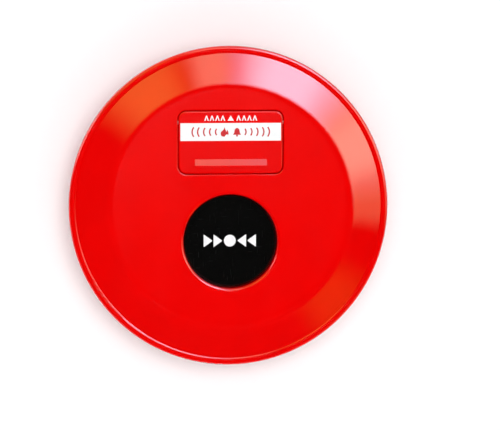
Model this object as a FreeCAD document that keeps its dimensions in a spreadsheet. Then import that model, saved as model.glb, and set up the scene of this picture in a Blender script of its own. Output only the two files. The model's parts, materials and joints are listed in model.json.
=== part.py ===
"""Round wall-mounted fire alarm station: push button below, hinged flap above.

The wall is the plane y = 0 and the front faces -Y.  "Height" in this file is the
distance in front of the wall, so a point at height h has y = -h.  X runs to the
right and Z up, with the origin at the middle of the wall face.  Millimetres.
"""
import FreeCAD, Part
import math
import os
import re
import Sketcher
from FreeCAD import Placement, Rotation, Vector

SIZES = {
    # front cover
    "rim_radius": 75, "bead_radius": 2, "rim_side": 3.8, "face_radius": 56.5, "face_depth": 46,
    "shoulder_drop": 8.2, "shell": 2.4, "face_round": 10, "lip_length": 4, "lip_wall": 2,
    "rim_round": 0.5, "fit_gap": 0.3, "barb_width": 10, "barb_reach": 1.5, "barb_height": 2,
    # back box
    "rim_overhang": 5.5, "box_wall": 2.5, "box_floor": 2.5, "box_round": 1, "gasket_inner": 60,
    "gasket_width": 6, "gasket_thick": 1, "gasket_gap": 0.1, "slot_pitch": 83.5,
    "slot_width": 4.5, "slot_length": 8, "grommet_x": -45, "grommet_z": -13,
    "grommet_radius": 9, "grommet_flange": 2, "cable_radius": 4,
    # push button
    "latch_space": 4.9, "recess_radius": 21.9, "recess_round": 1.8, "collar_wall": 2.2,
    "collar_length": 8.5, "disc_gap": 0.4, "disc_recess": 5, "disc_thick": 2.5, "disc_round": 0.8,
    "spigot_radius": 3, "spigot_length": 2, "flange_thick": 2.3, "flange_overlap": 2.6,
    "stop_gap": 0.2, "button_travel": 4, "stem_radius": 4, "bore_gap": 0.08,
    # bracket that guides the button
    "bracket_depth": 19.5, "bracket_thick": 2, "bracket_margin": 4, "bracket_corner": 5,
    "bush_radius": 6.5, "bush_front": 4.1, "bush_back": 1.5,
    "boss_gap": 1.6, "boss_radius": 3.2, "pilot_radius": 1.2, "pilot_depth": 8,
    "spring_radius": 9, "spring_wire": 0.9, "spring_turns": 3,
    # flap, its pin and the compartment behind it
    "flap_rise": 30.5, "opening_width": 49.2, "opening_height": 29.7, "opening_corner": 4,
    "opening_round": 0.6, "pocket_flange": 2, "flange_plate": 1.5, "pocket_wall": 2,
    "pocket_depth": 18, "flap_gap": 0.3, "flap_thick": 2.4, "flap_edge": 0.9, "pin_radius": 0.8,
    "pin_depth": 1.6, "pin_inset": 5.3, "pin_grip": 1.2, "pin_gap": 0.06, "press_gap": 0.02,
    "knuckle_radius": 1.9, "open_angle": 110,
    "ledge_width": 20, "ledge_reach": 1.6, "ledge_thick": 2, "rib_width": 1.8, "rib_thick": 2,
    "rib_height": 4, "ridge_width": 33.4, "ridge_top": 7.8, "ridge_bottom": 11.6, "ridge_reach": 2,
    "label_width": 46.8, "label_height": 8.2, "label_thick": 0.2, "label_rise": 4.9,
    # what stands in the compartment
    "lamp_rise": 17.35, "lamp_radius": 2.5, "lamp_base": 2.9, "lamp_proud": 1.5, "lead_offset": 1.27,
    "lead_radius": 0.25, "jack_x": -13, "jack_rise": 12.35, "jack_width": 10, "jack_height": 9,
    "jack_depth": 12, "bush_thread": 3, "plug_radius": 1.8, "nut_radius": 4.2, "nut_thick": 1.8,
    "jack_proud": 2.5, "screw_x": 14, "screw_rise": 8.35, "screw_radius": 1.95, "screw_head": 3.6,
    "screw_head_thick": 2.6, "screw_length": 9.5, "thread_gap": 0.05, "insert_radius": 2.8,
    "insert_length": 8, "post_radius": 4.8, "post_gap": 1.5, "retainer_thick": 0.8,
    # reset lever
    "latch_rise": 1.35, "latch_drop": 2.3, "latch_pin": 1, "latch_hub": 2, "lever_width": 6,
    "latch_width": 2, "latch_gap": 0.3, "hook_reach": 0.4, "hook_height": 2.6, "tab_rise": 6.35,
    "tab_gap": 0.8,
    "tab_proud": 3, "ear_height": 5, "ear_x": 6.6,
    # circuit board and switch
    "board_width": 72, "board_height": 70, "board_x": 8, "board_z": 1, "board_thick": 1.6,
    "board_inset": 4, "standoff_height": 5.5, "standoff_radius": 3, "board_screw": 1.05,
    "switch_x": -7.1, "switch_width": 12.8, "switch_height": 5.8, "switch_depth": 6.5,
    "pivot_inset": 0.5, "pivot_rise": 0.6, "pivot_radius": 0.5, "blade_thick": 0.4,
    "blade_width": 4, "blade_tilt": 18, "blade_end": 0.4, "plunger_offset": 4, "plunger_radius": 0.7,
    "plunger_proud": 1.35, "plunger_travel": 1, "solder_pitch": 5, "solder_radius": 0.4,
    # terminal block
    "ways": 6, "way_pitch": 6, "terminal_x": 37, "terminal_z": -6, "terminal_width": 12,
    "terminal_depth": 11.4, "well_radius": 1.9, "well_depth": 6, "mouth_width": 3.8,
    "mouth_depth": 4.4, "resistors": 3, "resistor_pitch": 6, "resistor_x": -16,
    "resistor_z": 4, "resistor_radius": 1.1, "resistor_length": 6,
}

# Heights in front of the wall, as expressions of the sizes above.
BEAD = "(face_depth - shoulder_drop - bead_radius)"
SEAM = f"({BEAD} - rim_side)"
UNDERSIDE = "(face_depth - shell)"
DISC_FRONT = "(face_depth - disc_recess)"
DISC_BACK = f"({DISC_FRONT} - disc_thick)"
COLLAR_BACK = "(face_depth - collar_length)"
FLANGE_FRONT = f"({COLLAR_BACK} - stop_gap)"
FLANGE_BACK = f"({FLANGE_FRONT} - flange_thick)"
BRACKET_FRONT = "(face_depth - bracket_depth)"
BRACKET_BACK = f"({BRACKET_FRONT} - bracket_thick)"
POCKET_FLOOR = "(face_depth - pocket_depth)"
POCKET_BACK = f"({POCKET_FLOOR} - pocket_wall)"
POST_TOP = f"({POCKET_BACK} - post_gap)"
PIN_HEIGHT = "(face_depth - pin_depth)"
LATCH_HEIGHT = f"({POCKET_BACK} - latch_drop)"
BOARD_BACK = "(box_floor + standoff_height)"
BOARD_FRONT = f"({BOARD_BACK} + board_thick)"
SWITCH_TOP = f"({BOARD_FRONT} + switch_depth)"
PIVOT_HEIGHT = f"({SWITCH_TOP} + pivot_rise)"
LAMP_BASE = f"({POCKET_BACK} - 2 * post_gap)"
TERMINAL_TOP = f"({BOARD_FRONT} + terminal_depth)"

# Places and radii, as expressions of the same sizes.
BOX_RADIUS = "(rim_radius - rim_overhang)"
LIP_RADIUS = f"({BOX_RADIUS} - box_wall - fit_gap)"
LIP_INNER = f"({LIP_RADIUS} - lip_wall)"
DISC_RADIUS = "(recess_radius - disc_gap)"
FLANGE_RADIUS = "(recess_radius + flange_overlap)"
FLAP_WIDTH = "(opening_width - 2 * flap_gap)"
FLAP_HEIGHT = "(opening_height - 2 * flap_gap)"
PIN_Z = f"(flap_rise + {FLAP_HEIGHT} / 2 - pin_inset)"
POCKET_BOTTOM = "(flap_rise - opening_height / 2)"
BUTTON_Z = f"({POCKET_BOTTOM} - pocket_wall - latch_space - {FLANGE_RADIUS})"
BOSS_SPREAD = f"({FLANGE_RADIUS} + boss_gap + boss_radius)"
BOSS_X = f"({BOSS_SPREAD} * cos(30))"
BOSS_Z = f"({BOSS_SPREAD} * sin(30))"
LATCH_Z = f"({POCKET_BOTTOM} + latch_rise)"
TAB_Z = f"({POCKET_BOTTOM} + tab_rise)"
SCREW_Z = f"({POCKET_BOTTOM} + screw_rise)"
JACK_Z = f"({POCKET_BOTTOM} + jack_rise)"
LAMP_Z = f"({POCKET_BOTTOM} + lamp_rise)"
HOOK_Z = f"({BUTTON_Z} + {FLANGE_RADIUS} + latch_gap)"
PIVOT_X = "(switch_x - switch_width / 2 + pivot_inset)"
ARM = f"(-{PIVOT_X})"
STEM_END = f"({PIVOT_HEIGHT} + {ARM} * tan(blade_tilt) + blade_thick / 2 + fit_gap)"
# Slope of the shoulder, and the shell's thickness there measured along Y.
SHOULDER_FALL = "(shoulder_drop + bead_radius * (1 - cos(45)))"
SLOPE = f"({SHOULDER_FALL} / (rim_radius - bead_radius * (1 + cos(45)) - face_radius))"
STEEP_SHELL = f"(shell * sqrt(1 + {SLOPE} ^ 2))"

FRONTWARD = Rotation(Vector(1, 0, 0), 90)
SIDEWARD = Rotation(Vector(0, 1, 0), 90)
SIDES = (-1, 1)

DOC = FreeCAD.newDocument("fire_alarm_station")
SHEET = DOC.addObject("Spreadsheet::Sheet", "Sizes")


# ---------------------------------------------------------------- sheet and expressions
def fill_sheet():
    for row, (name, size) in enumerate(SIZES.items(), 1):
        SHEET.set(f"A{row}", name)
        SHEET.set(f"B{row}", str(size))
        SHEET.setAlias(f"B{row}", name)
    DOC.recompute()


def full(expression):
    """The expression with every size's name pointing at the sheet."""
    return re.sub(r"[a-z]+(?:_[a-z]+)*",
                  lambda word: f"Sizes.{word[0]}" if word[0] in SIZES else word[0], str(expression))


def number(expression):
    return float(SHEET.evalExpression(full(expression)))


def bind(item, setting, expression):
    item.setExpression(setting, full(expression))


def count(name):
    return int(round(number(name)))


def place(item, x="0", height="0", z="0"):
    bind(item, "Placement.Base.x", x)
    bind(item, "Placement.Base.y", f"-({height})")
    bind(item, "Placement.Base.z", z)
    return item


# ---------------------------------------------------------------- sketches
def attach(drawing, body, role, offset="0"):
    plane = [item for item in body.Origin.OriginFeatures if item.Role == role][0]
    drawing.AttachmentSupport = (plane, [""])
    drawing.MapMode = "FlatFace"
    bind(drawing, "AttachmentOffset.Base.z", offset)


def fix(drawing, kind, *where_and_size):
    """Add one dimension to a sketch, bound to an expression."""
    *where, size = where_and_size
    index = drawing.addConstraint(Sketcher.Constraint(kind, *where, number(size)))
    bind(drawing, f"Constraints[{index}]", size)


def fix_point(drawing, curve, end, x, y):
    fix(drawing, "DistanceX", -1, 1, curve, end, x)
    fix(drawing, "DistanceY", -1, 1, curve, end, y)


def circle(drawing, x, y, radius):
    centre = Vector(number(x), number(y), 0)
    curve = drawing.addGeometry(Part.Circle(centre, Vector(0, 0, 1), number(radius)))
    fix_point(drawing, curve, 3, x, y)
    fix(drawing, "Radius", curve, radius)


def arc_between(start, end, radius):
    """Arc of the smaller turn; a positive radius turns counter-clockwise."""
    chord = end - start
    across = Vector(-chord.y, chord.x, 0).normalize()
    rise = math.sqrt(radius ** 2 - (chord.Length / 2) ** 2)
    centre = start + chord / 2 + across * math.copysign(rise, radius)
    first, last = (start, end) if radius > 0 else (end, start)
    angles = [math.atan2(point.y - centre.y, point.x - centre.x) for point in (first, last)]
    return Part.ArcOfCircle(Part.Circle(centre, Vector(0, 0, 1), abs(radius)), *angles)


def outline(drawing, corners):
    """Closed outline.  A corner is (x, y), or (x, y, radius) where an arc ends there."""
    points = [Vector(number(corner[0]), number(corner[1]), 0) for corner in corners]
    starts, ends = [], []
    for index, corner in enumerate(corners):
        start, end = points[index - 1], points[index]
        radius = number(corner[2]) if len(corner) > 2 else 0
        shape = arc_between(start, end, radius) if radius else Part.LineSegment(start, end)
        curve = drawing.addGeometry(shape)
        starts.append((curve, 2 if radius < 0 else 1))
        ends.append((curve, 1 if radius < 0 else 2))
    for index, corner in enumerate(corners):
        drawing.addConstraint(Sketcher.Constraint("Coincident", *ends[index - 1], *starts[index]))
        fix_point(drawing, *ends[index], corner[0], corner[1])
        if len(corner) > 2:
            fix(drawing, "Radius", ends[index][0], f"abs({corner[2]})")


def rectangle(drawing, x, y, width, height):
    left, right = f"{x} - {width} / 2", f"{x} + {width} / 2"
    low, high = f"{y} - {height} / 2", f"{y} + {height} / 2"
    outline(drawing, [(left, low), (right, low), (right, high), (left, high)])


def rounded(drawing, x, y, width, height, corner):
    left, right = f"{x} - {width} / 2", f"{x} + {width} / 2"
    low, high = f"{y} - {height} / 2", f"{y} + {height} / 2"
    outline(drawing, [
        (f"{left} + {corner}", low), (f"{right} - {corner}", low),
        (right, f"{low} + {corner}", corner), (right, f"{high} - {corner}"),
        (f"{right} - {corner}", high, corner), (f"{left} + {corner}", high),
        (left, f"{high} - {corner}", corner), (left, f"{low} + {corner}"),
        (f"{left} + {corner}", low, corner)][1:])


# ---------------------------------------------------------------- features of a body
def new_body(name):
    return DOC.addObject("PartDesign::Body", name)


def extrude(body, kind, name, height, length, *shapes):
    """Pad frontward from a height, or pocket backward from it."""
    drawing = body.newObject("Sketcher::SketchObject", f"{body.Name}_{name}_sketch")
    attach(drawing, body, "XZ_Plane", height)
    for draw, *sizes in shapes:
        draw(drawing, *sizes)
    feature = body.newObject(f"PartDesign::{kind}", f"{body.Name}_{name}")
    feature.Profile = drawing
    bind(feature, "Length", length)
    DOC.recompute()
    return feature


def cross_cut(body, name, height, z, radius, length):
    """Round hole along X, centred on x = 0."""
    drawing = body.newObject("Sketcher::SketchObject", f"{body.Name}_{name}_sketch")
    attach(drawing, body, "YZ_Plane")
    circle(drawing, f"-({height})", z, radius)
    feature = body.newObject("PartDesign::Pocket", f"{body.Name}_{name}")
    feature.Profile = drawing
    feature.Midplane = True
    bind(feature, "Length", length)
    DOC.recompute()


def revolve(body, name, corners):
    """Turn an outline of (radius, height) corners about the body's own axis."""
    drawing = body.newObject("Sketcher::SketchObject", f"{body.Name}_{name}_sketch")
    attach(drawing, body, "XY_Plane")
    outline(drawing, [(corner[0], f"-({corner[1]})", *corner[2:]) for corner in corners])
    feature = body.newObject("PartDesign::Revolution", f"{body.Name}_{name}")
    feature.Profile = drawing
    feature.ReferenceAxis = (drawing, ["V_Axis"])
    feature.Angle = 360
    DOC.recompute()


def round_circle(body, name, edge_radius, height, radius, x="0", z="0"):
    """Fillet the circular edge of this radius that lies at this height."""
    centre = Vector(number(x), -number(height), number(z))
    base = body.Tip
    chosen = [f"Edge{index}" for index, edge in enumerate(base.Shape.Edges, 1)
              if isinstance(edge.Curve, Part.Circle)
              and abs(edge.Curve.Radius - number(edge_radius)) < 0.001
              and edge.Curve.Center.distanceToPoint(centre) < 0.001]
    add_fillet(body, name, base, chosen, radius)


def round_front(body, name, width, radius):
    """Fillet the outline in the front face that is this wide and centred on the flap."""
    base = body.Tip
    front, middle = -number("face_depth"), number("flap_rise")
    reach = number(width) / 2 + 0.001
    chosen = [f"Edge{index}" for index, edge in enumerate(base.Shape.Edges, 1)
              if len(edge.Vertexes) == 2
              and all(abs(vertex.Y - front) < 0.001 and abs(vertex.X) < reach
                      and abs(vertex.Z - middle) < reach for vertex in edge.Vertexes)]
    add_fillet(body, name, base, chosen, radius)


def add_fillet(body, name, base, edges, radius):
    if not edges:
        raise RuntimeError(f"{body.Name}: no edge for {name}")
    feature = body.newObject("PartDesign::Fillet", f"{body.Name}_{name}")
    feature.Base = (base, edges)
    bind(feature, "Radius", radius)
    DOC.recompute()


# ---------------------------------------------------------------- primitives
def rod(name, radius, x, z, back, length):
    """Cylinder that stands frontward from a height."""
    item = DOC.addObject("Part::Cylinder", name)
    item.Placement = Placement(Vector(), FRONTWARD)
    bind(item, "Radius", radius)
    bind(item, "Height", length)
    return place(item, x, back, z)


def cross_rod(name, radius, x, height, z, length):
    """Cylinder along X that starts at x."""
    item = DOC.addObject("Part::Cylinder", name)
    item.Placement = Placement(Vector(), SIDEWARD)
    bind(item, "Radius", radius)
    bind(item, "Height", length)
    return place(item, x, height, z)


def block(name, x, z, back, width, height, depth):
    """Box centred on x and z that stands frontward from a height."""
    item = DOC.addObject("Part::Box", name)
    bind(item, "Length", width)
    bind(item, "Width", depth)
    bind(item, "Height", height)
    return place(item, f"{x} - ({width}) / 2", f"{back} + {depth}", f"{z} - ({height}) / 2")


def ball(name, radius, x, height, z):
    item = DOC.addObject("Part::Sphere", name)
    bind(item, "Radius", radius)
    return place(item, x, height, z)


def fuse(name, *items):
    item = DOC.addObject("Part::MultiFuse", name)
    item.Shapes = list(items)
    return item


def cut(name, base, *tools):
    item = DOC.addObject("Part::Cut", name)
    item.Base = base
    item.Tool = tools[0] if len(tools) == 1 else fuse(f"{name}_tools", *tools)
    return item


def group(name, items):
    """Several separate solids that share a node."""
    item = DOC.addObject("Part::Compound", name)
    item.Links = list(items)
    return item


def screw(name, x, z, seat, shank, length, head, head_thick, side=1):
    """Slotted screw whose head stands on a seat, on the front side (1) or behind it (-1)."""
    low_shank = f"{seat} - ({length})" if side > 0 else seat
    low_head = seat if side > 0 else f"{seat} - {head_thick}"
    low_slot = f"{seat} + {head_thick} / 2" if side > 0 else low_head
    body = fuse(f"{name}_blank", rod(f"{name}_shank", shank, x, z, low_shank, length),
                rod(f"{name}_head", head, x, z, low_head, head_thick))
    slot = block(f"{name}_slot", x, z, low_slot, f"2 * {head}", f"{head} / 3", f"{head_thick} / 2")
    return cut(name, body, slot)


# ---------------------------------------------------------------- sub-parts: cover
def make_front_cover():
    body = new_body("front_cover")
    crease = ("rim_radius - bead_radius * (1 + cos(45))", f"{BEAD} + bead_radius * cos(45)")
    revolve(body, "shell", [
        ("0", "face_depth"), ("face_radius", "face_depth"), crease,
        ("rim_radius", BEAD, "bead_radius"), ("rim_radius", SEAM), (LIP_RADIUS, SEAM),
        (LIP_RADIUS, f"{SEAM} - lip_length"), (LIP_INNER, f"{SEAM} - lip_length"),
        (LIP_INNER, f"face_depth - {SLOPE} * ({LIP_INNER} - face_radius) - {STEEP_SHELL}"),
        (f"face_radius - ({STEEP_SHELL} - shell) / {SLOPE}", UNDERSIDE), ("0", UNDERSIDE)])
    round_circle(body, "face_blend", "face_radius", "face_depth", "face_round")
    extrude(body, "Pad", "collar", COLLAR_BACK, "collar_length - shell",
            (circle, "0", BUTTON_Z, "recess_radius + collar_wall"))
    extrude(body, "Pad", "bosses", BRACKET_FRONT, "bracket_depth - shell",
            *[(circle, f"{side} * {BOSS_X}", f"{BUTTON_Z} + {rise} * {BOSS_Z}", "boss_radius")
              for side in SIDES for rise in SIDES])
    extrude(body, "Pad", "barb", f"{SEAM} - lip_length", "barb_height",
            (rectangle, "0", f"(-{LIP_RADIUS})", "barb_width", "(2 * barb_reach)"))
    cut_cover_openings(body)
    round_circle(body, "rim_edge", "rim_radius", SEAM, "rim_round")
    return body


def cut_cover_openings(body):
    extrude(body, "Pocket", "recess", "face_depth", "collar_length",
            (circle, "0", BUTTON_Z, "recess_radius"))
    round_circle(body, "recess_lip", "recess_radius", "face_depth", "recess_round", z=BUTTON_Z)
    extrude(body, "Pocket", "opening", "face_depth", "shell",
            (rounded, "0", "flap_rise", "opening_width", "opening_height", "opening_corner"))
    round_front(body, "opening_edge", "opening_width", "opening_round")
    extrude(body, "Pocket", "pilot_holes", f"{BRACKET_FRONT} + pilot_depth", "pilot_depth",
            *[(circle, f"{side} * {BOSS_X}", f"{BUTTON_Z} + {rise} * {BOSS_Z}", "pilot_radius")
              for side in SIDES for rise in SIDES])
    length = "(opening_width + 2 * pin_grip + press_gap)"
    cross_cut(body, "pin_sockets", PIN_HEIGHT, PIN_Z, "pin_radius + press_gap", length)
    extrude(body, "Pocket", "pin_ways_in", PIN_HEIGHT, "shell - pin_depth",
            (rectangle, "0", PIN_Z, length, "(2 * (pin_radius + press_gap))"))


def make_flap_compartment():
    """Tray behind the flap, bonded to the cover's back by its flange."""
    body = new_body("flap_compartment")
    for name, margin, back, depth in (
            ("walls", "pocket_wall", POCKET_BACK, "pocket_depth + pocket_wall - shell"),
            ("flange", "(pocket_wall + pocket_flange)", f"{UNDERSIDE} - flange_plate",
             "flange_plate")):
        extrude(body, "Pad", name, back, depth,
                (rounded, "0", "flap_rise", f"(opening_width + 2 * {margin})",
                 f"(opening_height + 2 * {margin})", f"(opening_corner + {margin})"))
    extrude(body, "Pad", "latch_ears", f"{LATCH_HEIGHT} - latch_hub", "latch_drop + latch_hub",
            *[(rectangle, f"({side} * ear_x)", LATCH_Z, "latch_width", "ear_height")
              for side in SIDES])
    extrude(body, "Pocket", "cavity", UNDERSIDE, "pocket_depth - shell",
            (rounded, "0", "flap_rise", "opening_width", "opening_height", "opening_corner"))
    extrude(body, "Pocket", "floor_holes", POCKET_FLOOR, "pocket_wall",
            (circle, "0", LAMP_Z, "lamp_radius + fit_gap / 2"),
            (circle, "jack_x", JACK_Z, "bush_thread + bore_gap"),
            (circle, "screw_x", SCREW_Z, "screw_radius + fit_gap"),
            (rectangle, "0", TAB_Z, "(lever_width + 1)", "(latch_width + 2 * tab_gap)"))
    cross_cut(body, "latch_pin_holes", LATCH_HEIGHT, LATCH_Z, "latch_pin + press_gap",
              "2 * ear_x + 2 * latch_width")
    extrude(body, "Pad", "ledge", "face_depth - flap_thick - stop_gap - ledge_thick", "ledge_thick",
            (rectangle, "0", f"({POCKET_BOTTOM} + ledge_reach / 2)", "ledge_width", "ledge_reach"))
    add_stop_ribs(body)
    return body


def add_stop_ribs(body):
    """Ribs that the opened flap's upper edge comes to rest on."""
    behind = "(flap_thick - pin_depth)"
    top = (f"({PIN_Z} + pin_inset * cos(open_angle) - {behind} * sin(open_angle)"
           " - stop_gap)")
    height = f"({PIN_HEIGHT} - pin_inset * sin(open_angle) - {behind} * cos(open_angle))"
    extrude(body, "Pad", "stop_ribs", f"{height} - rib_thick / 2", "rib_thick",
            *[(rectangle, f"({side} * (opening_width - rib_width) / 2)",
               f"({top} - rib_height / 2)", "rib_width", "rib_height") for side in SIDES])


def make_flap():
    body = new_body("flap")
    back = "face_depth - flap_thick"
    extrude(body, "Pad", "plate", back, "flap_thick",
            (rounded, "0", "flap_rise", FLAP_WIDTH, FLAP_HEIGHT, "(opening_corner - flap_gap)"))
    round_front(body, "front_edge", FLAP_WIDTH, "flap_edge")
    knuckle = body.newObject("Sketcher::SketchObject", "flap_knuckle_sketch")
    attach(knuckle, body, "YZ_Plane")
    circle(knuckle, f"-{PIN_HEIGHT}", PIN_Z, "knuckle_radius")
    barrel = body.newObject("PartDesign::Pad", "flap_knuckle")
    barrel.Profile = knuckle
    barrel.Midplane = True
    bind(barrel, "Length", f"{FLAP_WIDTH} - 2 * opening_corner")
    DOC.recompute()
    trim_knuckle(body)
    cross_cut(body, "pin_bore", PIN_HEIGHT, PIN_Z, "pin_radius + pin_gap", "opening_width")
    ridge = body.newObject("Sketcher::SketchObject", "flap_ridge_sketch")
    attach(ridge, body, "YZ_Plane")
    outline(ridge, [("-face_depth", "flap_rise - ridge_top"),
                    ("-face_depth + flap_thick / 2", "flap_rise - ridge_top"),
                    ("-face_depth + flap_thick / 2", "flap_rise - ridge_bottom"),
                    ("-face_depth - ridge_reach", "flap_rise - ridge_bottom"),
                    ("-face_depth - ridge_reach", "flap_rise - ridge_bottom + ridge_reach / 2")])
    wedge = body.newObject("PartDesign::Pad", "flap_ridge")
    wedge.Profile = ridge
    wedge.Midplane = True
    bind(wedge, "Length", "ridge_width")
    DOC.recompute()
    return body


def trim_knuckle(body):
    """Level the knuckle with the flap's front face."""
    extrude(body, "Pocket", "level", "face_depth + knuckle_radius", "knuckle_radius",
            (rectangle, "0", PIN_Z, "opening_width", "(2 * knuckle_radius)"))


def make_flap_label():
    return block("flap_label", "0", "flap_rise + label_rise", "face_depth",
                 "label_width", "label_height", "label_thick")


def make_flap_pin():
    return cross_rod("flap_pin", "pin_radius", "-opening_width / 2 - pin_grip", PIN_HEIGHT, PIN_Z,
                     "opening_width + 2 * pin_grip")


# ---------------------------------------------------------------- sub-parts: push button
def make_push_disc():
    body = new_body("push_disc")
    revolve(body, "disc", [
        ("0", DISC_FRONT), (DISC_RADIUS, DISC_FRONT), (DISC_RADIUS, DISC_BACK),
        ("spigot_radius", DISC_BACK), ("spigot_radius", f"{DISC_BACK} - spigot_length"),
        ("0", f"{DISC_BACK} - spigot_length")])
    round_circle(body, "edge", DISC_RADIUS, DISC_FRONT, "disc_round")
    return place(body, z=BUTTON_Z)


def make_button_carrier():
    body = new_body("button_carrier")
    socket = "spigot_radius + bore_gap"
    socket_floor = f"{DISC_BACK} - spigot_length - bore_gap"
    revolve(body, "carrier", [
        ("0", socket_floor), (socket, socket_floor), (socket, DISC_BACK), (DISC_RADIUS, DISC_BACK),
        (DISC_RADIUS, FLANGE_FRONT), (FLANGE_RADIUS, FLANGE_FRONT), (FLANGE_RADIUS, FLANGE_BACK),
        ("stem_radius", FLANGE_BACK), ("stem_radius", f"{STEM_END} + stem_radius / 2"),
        ("0", STEM_END, "stem_radius * 1.25")])
    return place(body, z=BUTTON_Z)


def make_guide_bracket():
    body = new_body("guide_bracket")
    extrude(body, "Pad", "plate", BRACKET_BACK, "bracket_thick",
            (rounded, "0", "0", f"(2 * ({BOSS_X} + bracket_margin))", f"(2 * ({BOSS_Z} + bracket_margin))",
             "bracket_corner"))
    extrude(body, "Pad", "bush", f"{BRACKET_BACK} - bush_back",
            "bush_back + bracket_thick + bush_front", (circle, "0", "0", "bush_radius"))
    extrude(body, "Pocket", "bore", f"{BRACKET_FRONT} + bush_front",
            "bush_back + bracket_thick + bush_front", (circle, "0", "0", "stem_radius + bore_gap"))
    extrude(body, "Pocket", "screw_holes", BRACKET_FRONT, "bracket_thick",
            *[(circle, f"{side} * {BOSS_X}", f"{rise} * {BOSS_Z}", "pilot_radius + fit_gap")
              for side in SIDES for rise in SIDES])
    return place(body, z=BUTTON_Z)


def make_guide_screws():
    screws = [screw(f"guide_screw_{index}", f"{side} * {BOSS_X}", f"{BUTTON_Z} + {rise} * {BOSS_Z}",
                    BRACKET_BACK, "pilot_radius - press_gap", "bracket_thick + pilot_depth - 1",
                    "2.2 * pilot_radius", "1.3 * pilot_radius", -1)
              for index, (side, rise) in enumerate((a, b) for a in SIDES for b in SIDES)]
    return group("guide_screws", screws)


def make_button_spring():
    """Open coil between the bracket and the carrier's flange."""
    rise = f"({FLANGE_BACK} - {BRACKET_FRONT} - spring_wire - 2 * press_gap)"
    coil = DOC.addObject("Part::Helix", "button_spring_path")
    bind(coil, "Radius", "spring_radius")
    bind(coil, "Height", rise)
    bind(coil, "Pitch", f"{rise} / spring_turns")
    wire = DOC.addObject("Part::Circle", "button_spring_wire")
    bind(wire, "Radius", "spring_wire / 2")
    wire.Placement = Placement(Vector(), Rotation(Vector(1, 0, 0), 90))
    bind(wire, "Placement.Base.x", "spring_radius")
    spring = DOC.addObject("Part::Sweep", "button_spring")
    spring.Sections = [wire]
    spring.Spine = (coil, ["Edge1"])
    spring.Solid = True
    spring.Frenet = True
    spring.Placement = Placement(Vector(), FRONTWARD)
    return place(spring, "0", f"{BRACKET_FRONT} + spring_wire / 2 + press_gap", BUTTON_Z)


# ---------------------------------------------------------------- sub-parts: back box
def make_back_box():
    body = new_body("back_box")
    inner = f"{BOX_RADIUS} - box_wall"
    revolve(body, "tray", [
        ("0", "0"), (BOX_RADIUS, "0"), (BOX_RADIUS, SEAM), (inner, SEAM), (inner, "box_floor"),
        ("0", "box_floor")])
    round_circle(body, "back_edge", BOX_RADIUS, "0", "box_round")
    extrude(body, "Pad", "standoffs", "box_floor", "standoff_height",
            *[(circle, x, z, "standoff_radius") for x, z in board_corners()])
    extrude(body, "Pad", "post", "box_floor", f"{POST_TOP} - box_floor",
            (circle, "screw_x", SCREW_Z, "post_radius"))
    extrude(body, "Pocket", "insert_seat", POST_TOP, "insert_length",
            (circle, "screw_x", SCREW_Z, "insert_radius + press_gap"))
    extrude(body, "Pocket", "board_screw_holes", BOARD_BACK, "standoff_height - 1",
            *[(circle, x, z, "board_screw + press_gap") for x, z in board_corners()])
    extrude(body, "Pocket", "gasket_groove", "gasket_thick", "gasket_thick",
            (circle, "0", "0", "gasket_inner"), (circle, "0", "0", "gasket_inner + gasket_width"))
    extrude(body, "Pocket", "grommet_hole", "box_floor", "box_floor",
            (circle, "grommet_x", "grommet_z", "grommet_radius"))
    straight = "(slot_length - slot_width)"
    extrude(body, "Pocket", "slot_middles", "box_floor", "box_floor",
            *[(rectangle, "0", f"({side} * slot_pitch / 2)", "slot_width", straight)
              for side in SIDES])
    extrude(body, "Pocket", "slot_ends", "box_floor", "box_floor",
            *[(circle, "0", f"({side} * slot_pitch + {end} * {straight}) / 2", "slot_width / 2")
              for side in SIDES for end in SIDES])
    extrude(body, "Pocket", "barb_window", f"{SEAM} - lip_length + barb_height + fit_gap",
            "barb_height + 2 * fit_gap",
            (rectangle, "0", f"(-{BOX_RADIUS})", "(barb_width + 2 * fit_gap)", "(3 * box_wall)"))
    return body


def board_corners():
    return [(f"board_x + {side} * (board_width / 2 - board_inset)",
             f"board_z + {rise} * (board_height / 2 - board_inset)")
            for side in SIDES for rise in SIDES]


def make_wall_gasket():
    body = new_body("wall_gasket")
    extrude(body, "Pad", "ring", "0", "gasket_thick",
            (circle, "0", "0", "gasket_inner + gasket_gap"),
            (circle, "0", "0", "gasket_inner + gasket_width - gasket_gap"))
    return body


def make_cable_grommet():
    body = new_body("cable_grommet")
    outer = "grommet_radius - gasket_gap"
    brim = "grommet_radius + grommet_flange"
    revolve(body, "grommet", [
        ("cable_radius", "gasket_gap"), (outer, "gasket_gap"), (outer, "box_floor"),
        (brim, "box_floor"), (brim, "box_floor + grommet_flange"),
        ("cable_radius", "box_floor + grommet_flange")])
    return place(body, "grommet_x", "0", "grommet_z")


def make_thread_insert():
    outer = rod("insert_outer", "insert_radius", "screw_x", SCREW_Z,
                f"{POST_TOP} - insert_length", "insert_length")
    inner = rod("insert_bore", "screw_radius + thread_gap", "screw_x", SCREW_Z,
                f"{POST_TOP} - insert_length", "insert_length")
    return cut("thread_insert", outer, inner)


def make_cover_screw():
    return screw("cover_screw", "screw_x", SCREW_Z, POCKET_FLOOR, "screw_radius", "screw_length",
                 "screw_head", "screw_head_thick")


def make_screw_retainer():
    """Ring under the compartment's floor that keeps the loosened screw in the cover."""
    low = f"{POCKET_BACK} - fit_gap - retainer_thick"
    outer = rod("retainer_outer", "screw_radius * 1.7", "screw_x", SCREW_Z, low, "retainer_thick")
    inner = rod("retainer_bore", "screw_radius + press_gap", "screw_x", SCREW_Z, low,
                "retainer_thick")
    return cut("screw_retainer", outer, inner)


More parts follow.
